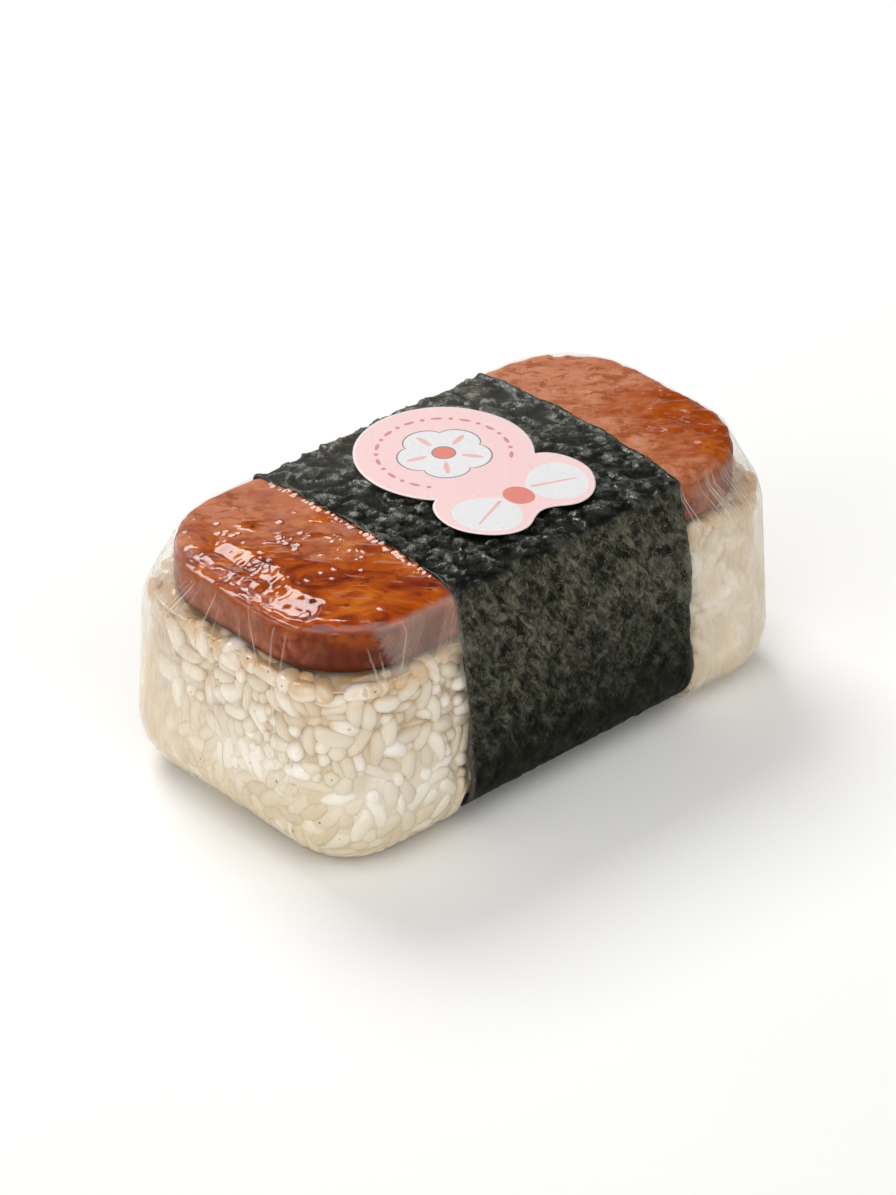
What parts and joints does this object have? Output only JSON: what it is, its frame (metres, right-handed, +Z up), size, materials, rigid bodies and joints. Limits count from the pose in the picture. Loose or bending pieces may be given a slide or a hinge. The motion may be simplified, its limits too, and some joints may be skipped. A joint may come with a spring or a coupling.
{
  "type": "wrapped musubi",
  "caption": "Pressed rice block with a glazed slice of luncheon meat on top, belted by a nori band, wrapped in clear film with a die-cut sticker.",
  "frame": {"origin": "middle of the footprint, on the surface that the pack stands on", "axes": "+Z up, X along the block's length, the leaves of the sticker towards -Y"},
  "size_m": [0.1046, 0.0594, 0.0459],
  "materials": {
    "rice": "steamed short grain rice, pressed, slightly glossy and translucent",
    "glazed_meat": "griddled luncheon meat under a thick amber soy glaze",
    "nori": "crinkled dark green seaweed sheet with a waxy shine",
    "clear_film": "clear cling film, drawn tight, with fine creases",
    "sticker": "matte coated paper printed pale pink, white and coral"
  },
  "bodies": {
    "root": {"rice_block": "rice", "meat_slice": "glazed_meat", "nori_band": "nori", "film_wrap": "clear_film", "label_sticker": "sticker"}
  },
  "joints": []
}
